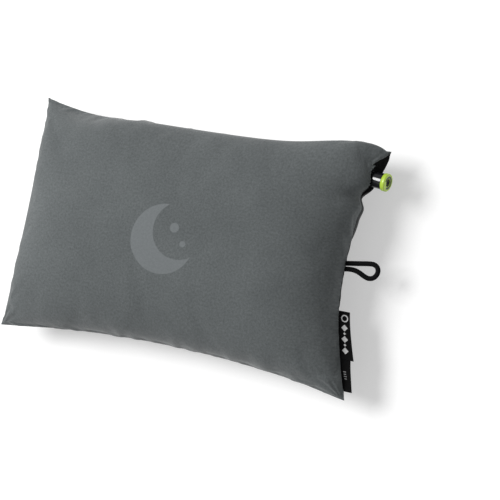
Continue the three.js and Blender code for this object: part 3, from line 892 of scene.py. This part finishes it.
def woven_sheet(name, node, y_top, length, reach, skew, finish, sag, below=0.15 * MM):
    """A label sewn in by one long edge: it leaves the curved seam at a slant and sags a little."""
    columns, rows = 16, 40
    points, flat = [], []
    for j in range(rows + 1):
        y = y_top - length * j / rows
        reach_here = reach + skew * (j / rows - 0.5)
        for i in range(columns + 1):
            s = -LABEL_ROOT + (reach_here + LABEL_ROOT) * i / columns
            drop = sag * max(0.0, s / reach) ** 1.6
            wave = 0.35 * MM * math.sin(2.2 * math.pi * j / rows) * max(0.0, s / reach)
            points.append((seam_x(y) + s, y, SEAM_Z - below - drop + wave))
            flat.append((s, y - (y_top - length / 2)))
    label = piece(
        name, points, grid_faces(columns, rows, True), material[finish],
        replaces=[node], uv=np.array(flat),
    )
    thicken(label, LABEL_WALL, 0)
    bevel = label.modifiers.new("rolled_edge", "BEVEL")
    bevel.width = 0.25 * MM
    bevel.segments = 2
    bevel.limit_method = "ANGLE"


def labels():
    """The side label, and the size tag whose top is tucked under it."""
    low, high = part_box("side_label")
    woven_sheet(
        "woven_side_label", "side_label", high.y, high.y - low.y, LABEL_REACH, 3 * MM, "side_label", 1.2 * MM,
    )
    low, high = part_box("size_tag")
    tucked = 1.5 * MM
    woven_sheet(
        "woven_size_tag", "size_tag", high.y + tucked, high.y - low.y + tucked, SIZE_TAG_REACH, -4 * MM,
        "size_tag", 0.6 * MM, below=1.0 * MM,
    )


# ---------------------------------------------------------------- cord loop

def smooth_route(route, steps):
    """Catmull-Rom line through the route's points, in metres, evenly spaced."""
    points = np.array(route) * MM
    padded_points = np.vstack([2 * points[0] - points[1], points, 2 * points[-1] - points[-2]])
    line = []
    for k in range(1, len(padded_points) - 2):
        a, b, c, d = padded_points[k - 1 : k + 3]
        for t in np.linspace(0, 1, 24, endpoint=False):
            line.append(0.5 * (2 * b + (c - a) * t + (2 * a - 5 * b + 4 * c - d) * t**2
                               + (3 * b - a - 3 * c + d) * t**3))
    line.append(points[-1])
    line = np.array(line)
    travelled = np.concatenate([[0], np.cumsum(np.linalg.norm(np.diff(line, axis=0), axis=1))])
    even = np.linspace(0, travelled[-1], steps + 1)
    return np.stack([np.interp(even, travelled, line[:, k]) for k in range(3)], axis=1), travelled[-1]


def cord_loop():
    """A braid: strands of both hands cross over each other round the line of the cord."""
    steps, around, carriers = 260, 48, 8
    line, length = smooth_route(CORD_ROUTE, steps)
    side = Vector((0, 0, 1))
    points, flat = [], []
    lay = 2 * math.pi / (9.0 * MM)
    for k, centre in enumerate(line):
        ahead = Vector(line[min(k + 1, steps)] - line[max(k - 1, 0)]).normalized()
        side = (side - ahead * side.dot(ahead)).normalized()
        other = ahead.cross(side)
        travel = length * k / steps
        for m in range(around + 1):
            angle = 2 * math.pi * m / around
            right = math.sin(carriers * angle / 2 + lay * travel * carriers / 2)
            left = math.sin(carriers * angle / 2 - lay * travel * carriers / 2)
            strand = max(abs(right), abs(left))
            radius = CORD_DIAMETER / 2 * (0.93 + 0.07 * strand)
            points.append(Vector(centre) + radius * (math.cos(angle) * side + math.sin(angle) * other))
            flat.append((angle * CORD_DIAMETER / 2, travel))
    cord = piece(
        "braided_loop", points, grid_faces(around, steps), material["cord"],
        replaces=["cord_loop"], uv=np.array(flat),
    )
    close_tube(cord, around, steps)


def close_tube(obj, around, steps):
    """Joins the tube's lengthwise edges and closes both of its ends."""
    mesh = bmesh.new()
    mesh.from_mesh(obj.data)
    mesh.verts.ensure_lookup_table()
    for ring in (0, steps):
        first = ring * (around + 1)
        loop = [mesh.verts[first + m] for m in range(around)]
        mesh.faces.new(loop)
    bmesh.ops.remove_doubles(mesh, verts=mesh.verts, dist=1e-6)
    bmesh.ops.recalc_face_normals(mesh, faces=mesh.faces)
    mesh.to_mesh(obj.data)
    mesh.free()


# ---------------------------------------------------------------- valve

def valve_matrix():
    turn = VALVE_AXIS.to_track_quat("Z", "X").to_matrix().to_4x4()
    return Matrix.Translation(VALVE_ROOT) @ turn


def lathe(name, profile, finish, body, node, segments=96, dent=None):
    """Turns a closed or axis-to-axis profile of (radius, along), in millimetres, about the valve's axis."""
    matrix = valve_matrix()
    rings = []
    for radius, along in profile:
        ring = []
        for m in range(segments):
            angle = 2 * math.pi * m / segments
            sunk = dent(radius, along, angle) if dent else 0.0
            local = Vector((radius * math.cos(angle), radius * math.sin(angle), along - sunk)) * MM
            ring.append(matrix @ local)
        rings.append(ring)
    points = [p for ring in rings for p in ring]
    faces = []
    count = len(profile)
    closed = profile[0][0] > 0
    for k in range(count if closed else count - 1):
        a, b = k * segments, ((k + 1) % count) * segments
        for m in range(segments):
            following = (m + 1) % segments
            faces.append((a + m, a + following, b + following, b + m))
    obj = piece(name, points, faces, material[finish], body=body, replaces=[node])
    # The dent's depth is also kept as the engraved attribute, which paints shade into the groove, darker
    # where it is cut deeper.
    if dent:
        sunk = [dent(r, a, 2 * math.pi * m / segments) for r, a in profile for m in range(segments)]
        layer = obj.data.attributes.new("engraved", "FLOAT", "POINT")
        layer.data.foreach_set("value", np.minimum(np.array(sunk, dtype=np.float32) * 6, 1))
    tidy_mesh(obj)
    return obj


def tidy_mesh(obj):
    """Joins the points that meet on the axis and turns every face outward."""
    mesh = bmesh.new()
    mesh.from_mesh(obj.data)
    bmesh.ops.remove_doubles(mesh, verts=mesh.verts, dist=1e-6)
    bmesh.ops.dissolve_degenerate(mesh, edges=mesh.edges, dist=1e-7)
    bmesh.ops.recalc_face_normals(mesh, faces=mesh.faces)
    mesh.to_mesh(obj.data)
    mesh.free()


def rounded(profile, radius=0.4, steps=4):
    """The profile with each corner away from the axis rounded by an arc-like curve."""
    points = [Vector(p) for p in profile]
    count = len(points)
    closed = profile[0][0] > 0
    result = []
    for k, corner in enumerate(points):
        if not closed and k in (0, count - 1):
            result.append(tuple(corner))
            continue
        before, after = points[k - 1], points[(k + 1) % count]
        cut_in = min(radius, (before - corner).length * 0.45)
        cut_out = min(radius, (after - corner).length * 0.45)
        start = corner + (before - corner).normalized() * cut_in
        end = corner + (after - corner).normalized() * cut_out
        for s in range(steps + 1):
            t = s / steps
            result.append(tuple((1 - t) ** 2 * start + 2 * t * (1 - t) * corner + t * t * end))
    return result


def ring_section(centre_radius, section, place, count=20):
    """Profile of a rubber ring."""
    turns = [2 * math.pi * k / count for k in range(count)]
    return [(centre_radius + section * math.cos(a), place + section * math.sin(a)) for a in turns]


def cap_mark(radius, along, angle):
    """An engraved arc on the cap's end, open on one side, that shows which way it twists."""
    on_face = along > 20.7
    in_band = max(0.0, 1 - ((radius - 6.1) / 1.4) ** 2)
    open_side = abs(math.remainder(angle - math.radians(40), 2 * math.pi)) < math.radians(38)
    return 0.6 * in_band if on_face and not open_side else 0.0


def barrel():
    lathe("barrel_sleeve", rounded([
        (6.5, 0.9), (8.9, 0.9), (9.0, 1.6), (8.85, 9.0), (9.0, 15.6), (8.3, 15.7), (8.3, 17.5), (6.5, 17.5),
    ], 0.45), "valve_black", "valve_twist", "valve_sleeve")


def cap():
    """The ring on the barrel's end, with enough circles on its face to carry the engraved arc."""
    face_radii = [r / 10 for r in range(90, 46, -2)]
    profile = [(8.6, 16.0), (9.9, 16.0), (9.9, 19.6), (9.72, 20.2), (9.3, 20.6)]
    profile += [(r, 20.8) for r in face_radii]
    profile += [(4.4, 20.7), (4.3, 20.4), (4.3, 18.0), (6.5, 18.0), (6.5, 17.8), (8.6, 17.8)]
    lathe("twist_cap", profile, "valve_lime", "valve_twist", "valve_cap", 144, cap_mark)


def stem():
    lathe("stem_tube", rounded([
        (4.0, -28.0), (6.2, -28.0), (6.2, 13.0), (4.7, 13.0), (4.7, -9.3), (4.0, -9.3),
    ], 0.3), "valve_black", "pillow", "valve_stem")


def mouth_pin():
    lathe("mouth_pin", [
        (0, -9.0), (2.0, -9.0), (2.0, 17.5), (3.4, 17.5), (3.5, 17.7), (3.5, 18.2), (3.0, 18.2), (3.0, 19.7),
        (3.5, 19.7), (3.5, 20.0), (3.3, 20.3), (2.9, 20.4), (1.3, 20.25), (0.9, 19.9), (0, 19.8),
    ], "pin_black", "pillow", "valve_pin", 64)


def rubber_ring(name, centre_radius, section, place, body, node):
    profile = ring_section(centre_radius, section, place)
    lathe(name, profile, "rubber", body, node, 64)


def weld_boat():
    """The pointed foot that the bladder sheets are welded to, ribbed along its sides."""
    half_width, half_height, bore, start, length = 20.0, 8.5, 6.5, -26.0, 13.0
    sides, layers, ribs = 96, 26, 5
    matrix = valve_matrix()
    points, faces = [], []
    for wall in ("outer", "inner"):
        for k in range(layers + 1):
            along = start + length * k / layers
            rib = 0.35 * (0.5 - 0.5 * math.cos(2 * math.pi * k / layers * ribs))
            for m in range(sides):
                angle = 2 * math.pi * m / sides
                if wall == "inner":
                    local = (bore * math.cos(angle), bore * math.sin(angle), along)
                else:
                    across = math.sin(angle)
                    rise = math.copysign((1 - abs(across) ** 1.6), math.cos(angle))
                    local = ((half_height - 0.5 + rib) * rise * 0.98, half_width * across, along)
                points.append(matrix @ (Vector(local) * MM))

    def at(wall, k, m):
        return (wall * (layers + 1) + k) * sides + m % sides

    for k in range(layers):
        for m in range(sides):
            faces.append((at(0, k, m), at(0, k, m + 1), at(0, k + 1, m + 1), at(0, k + 1, m)))
            faces.append((at(1, k, m + 1), at(1, k, m), at(1, k + 1, m), at(1, k + 1, m + 1)))
    for k in (0, layers):
        for m in range(sides):
            rim = (at(0, k, m), at(1, k, m), at(1, k, m + 1), at(0, k, m + 1))
            faces.append(rim if k == 0 else rim[::-1])
    boat = piece(
        "weld_boat", points, faces, material["soft_plastic"], replaces=["valve_boat"],
    )
    tidy_mesh(boat)


# ---------------------------------------------------------------- stitches

def stitch_tree():
    """Geometry nodes that lay thread stitches along a curve, and the names of their four inputs."""
    tree = bpy.data.node_groups.new("stitch_row", "GeometryNodeTree")
    face = tree.interface
    face.new_socket("Geometry", in_out="INPUT", socket_type="NodeSocketGeometry")
    inputs = [
        face.new_socket(name, in_out="INPUT", socket_type=kind)
        for name, kind in (
            ("Pitch", "NodeSocketFloat"), ("Stitch length", "NodeSocketFloat"),
            ("Thread width", "NodeSocketFloat"), ("Thread", "NodeSocketMaterial"),
        )
    ]
    face.new_socket("Geometry", in_out="OUTPUT", socket_type="NodeSocketGeometry")
    nodes, links = tree.nodes, tree.links
    given = nodes.new("NodeGroupInput")
    result = nodes.new("NodeGroupOutput")
    places = nodes.new("GeometryNodeCurveToPoints")
    places.mode = "LENGTH"
    ball = nodes.new("GeometryNodeMeshUVSphere")
    ball.inputs["Segments"].default_value = 8
    ball.inputs["Rings"].default_value = 6
    ball.inputs["Radius"].default_value = 0.5
    size = nodes.new("ShaderNodeCombineXYZ")
    on_points = nodes.new("GeometryNodeInstanceOnPoints")
    realize = nodes.new("GeometryNodeRealizeInstances")
    paint = nodes.new("GeometryNodeSetMaterial")
    for source, target in (
        (given.outputs["Geometry"], places.inputs["Curve"]),
        (given.outputs["Pitch"], places.inputs["Length"]),
        (given.outputs["Thread width"], size.inputs["X"]),
        (given.outputs["Thread width"], size.inputs["Y"]),
        (given.outputs["Stitch length"], size.inputs["Z"]),
        (places.outputs["Points"], on_points.inputs["Points"]),
        (places.outputs["Rotation"], on_points.inputs["Rotation"]),
        (ball.outputs["Mesh"], on_points.inputs["Instance"]),
        (size.outputs[0], on_points.inputs["Scale"]),
        (on_points.outputs[0], realize.inputs[0]),
        (realize.outputs[0], paint.inputs["Geometry"]),
        (given.outputs["Thread"], paint.inputs["Material"]),
        (paint.outputs[0], result.inputs[0]),
    ):
        links.new(source, target)
    return tree, [socket.identifier for socket in inputs]


def stitch_row(name, points, finish):
    curve = bpy.data.curves.new(name + "_line", "CURVE")
    curve.dimensions = "3D"
    spline = curve.splines.new("POLY")
    spline.points.add(len(points) - 1)
    for target, point in zip(spline.points, points):
        target.co = (*point, 1)
    line = bpy.data.objects.new(name + "_line", curve)
    bpy.context.scene.collection.objects.link(line)
    modifier = line.modifiers.new("stitches", "NODES")
    modifier.node_group = STITCH_TREE
    values = (STITCH_PITCH, STITCH_LENGTH, THREAD_WIDTH, material[finish])
    for socket, value in zip(STITCH_INPUTS, values):
        modifier[socket] = value
    evaluated = line.evaluated_get(bpy.context.evaluated_depsgraph_get())
    mesh = bpy.data.meshes.new_from_object(evaluated)
    mesh.name = name
    bpy.data.objects.remove(line)
    bpy.data.curves.remove(curve)
    for face in mesh.polygons:
        face.use_smooth = True
    stitches = bpy.data.objects.new(name, mesh)
    bpy.context.scene.collection.objects.link(stitches)
    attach(stitches, "pillow")


def seam_stitches(front, back):
    """Two rows along the back's overlap and one along the front edge of the port."""
    lift = np.array([0, 0, 0.15 * MM])
    hem_rows = (OPENING_ROW + 2, OPENING_ROW + 4)
    for number, row in enumerate(hem_rows, start=1):
        stitch_row(f"hem_stitches_{number}", back[row, 3:-3] - lift, "black_thread")
    grid_v = grade(CLOTH_ROWS)
    rows = [r for r in range(len(grid_v)) if PORT_START + 0.02 < grid_v[r] < PORT_END - 0.02]
    inward = 3
    edge_line = [front[r, -1 - inward] + np.array([0.3 * MM, 0, 0.3 * MM]) for r in rows]
    stitch_row("port_stitches", edge_line, "grey_thread")


# ---------------------------------------------------------------- assembly

material = make_materials()
build_camera()
cord_loop()
build_studio()
STITCH_TREE, STITCH_INPUTS = stitch_tree()

front_start, back_start = cover_start(True), cover_start(False)
front_sheet, back_sheet = inflate(front_start, back_start)
cover_pieces(front_sheet, back_sheet)
port_lining(front_sheet, back_sheet)
seam_stitches(front_sheet, back_sheet)
labels()
barrel()
cap()
stem()
mouth_pin()
rubber_ring("mouth_ring", 3.65, 0.4, 18.95, "pillow", "pin_seal")
rubber_ring("barrel_ring", 7.45, 0.8, 2.9, "valve_slide", "sleeve_seal")
weld_boat()
foam_layer()
bladder()
